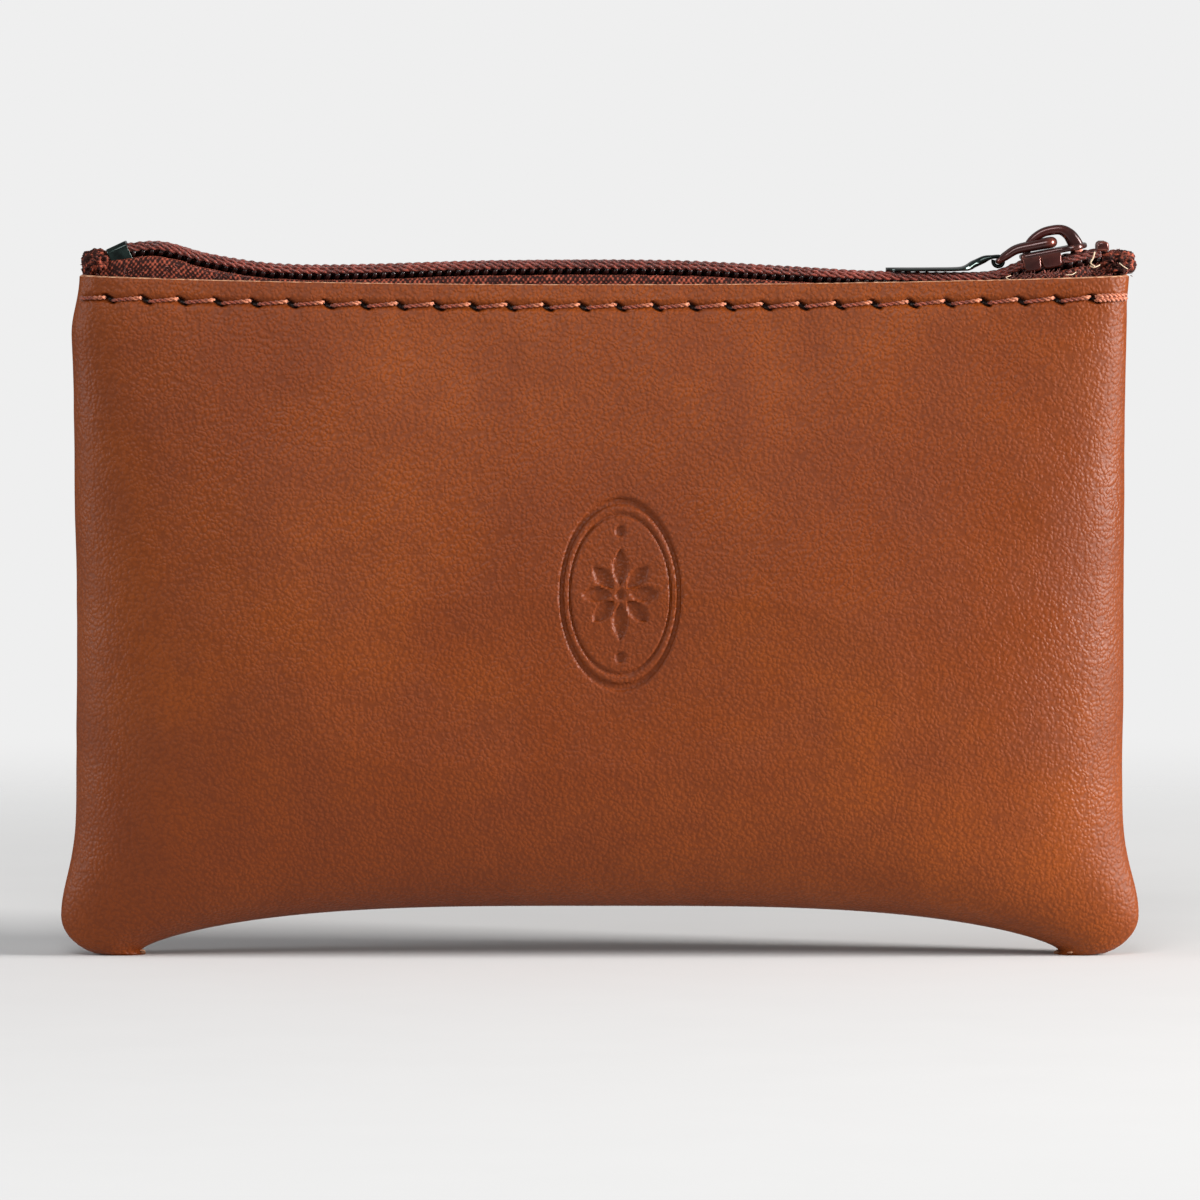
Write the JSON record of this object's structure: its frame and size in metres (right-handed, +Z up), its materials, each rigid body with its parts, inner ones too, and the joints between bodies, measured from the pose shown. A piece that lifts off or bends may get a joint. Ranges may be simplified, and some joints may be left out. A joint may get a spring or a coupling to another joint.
{
  "type": "zippered pouch",
  "caption": "Small flat zippered pouch in smooth tan leather, puffed as if filled, with a coil zip along its top edge, a looped slider pull and visible top stitching.",
  "frame": {"origin": "under the middle of the pouch, on the surface that its two bottom corners stand on", "axes": "+X along the zip towards the slider's closed end, +Y towards the back panel, +Z up; the decorated front panel faces -Y"},
  "size_m": [0.124, 0.0224, 0.0839],
  "materials": {
    "leather": "smooth tan leather with a fine pebble grain",
    "lining": "plain woven lining",
    "zip_tape": "woven polyester tape",
    "zip_coil": "glossy nylon monofilament",
    "zip_sewing": "twisted polyester thread",
    "stitch_thread": "two-ply waxed thread",
    "slider_enamel": "glossy dark red-brown enamel",
    "gunmetal": "glossy black-green lacquer"
  },
  "bodies": {
    "pouch": {"outer_shell": "leather", "lining": "lining", "front_top_stop": "slider_enamel", "back_top_stop": "slider_enamel", "bottom_stop": "gunmetal", "front_zip_thread": "stitch_thread", "back_zip_thread": "stitch_thread", "left_seam_thread": "stitch_thread", "right_seam_thread": "stitch_thread"},
    "front_lip": {"front_zip_tape": "zip_tape", "front_coil": "zip_coil", "front_coil_sewing": "zip_sewing"},
    "back_lip": {"back_zip_tape": "zip_tape", "back_coil": "zip_coil", "back_coil_sewing": "zip_sewing"},
    "slider": {"slider_body": "slider_enamel"},
    "pull_link": {"pull_link": "slider_enamel"},
    "pull_tab": {"pull_tab": "gunmetal"}
  },
  "joints": [
    {"name": "slider_slide", "type": "slide", "parent": "pouch", "child": "slider", "axis": [-1, 0, 0.0049], "range_m": [0, 0.1018]},
    {"name": "link_lift", "type": "hinge", "parent": "slider", "child": "pull_link", "pos_m": [0.05163, 0, 0.08188], "axis": [0, 1, 0], "range_deg": [0, 35]},
    {"name": "tab_swing", "type": "hinge", "parent": "pull_link", "child": "pull_tab", "pos_m": [0.04568, 0, 0.0797], "axis": [0, 1, 0], "range_deg": [0, 105]},
    {"name": "front_lip_open", "type": "slide", "parent": "pouch", "child": "front_lip", "axis": [0, -1, 0], "range_m": [0, 0.009], "deforming": ["front_zip_tape", "front_coil", "front_coil_sewing"]},
    {"name": "back_lip_open", "type": "slide", "parent": "pouch", "child": "back_lip", "axis": [0, 1, 0], "range_m": [0, 0.009], "deforming": ["back_zip_tape", "back_coil", "back_coil_sewing"]}
  ],
  "couplings": [
    {"joint": "link_lift", "follows": "slider_slide", "rad_per_m": 5.99},
    {"joint": "front_lip_open", "follows": "slider_slide", "ratio": 0.0884},
    {"joint": "back_lip_open", "follows": "slider_slide", "ratio": 0.0884}
  ]
}
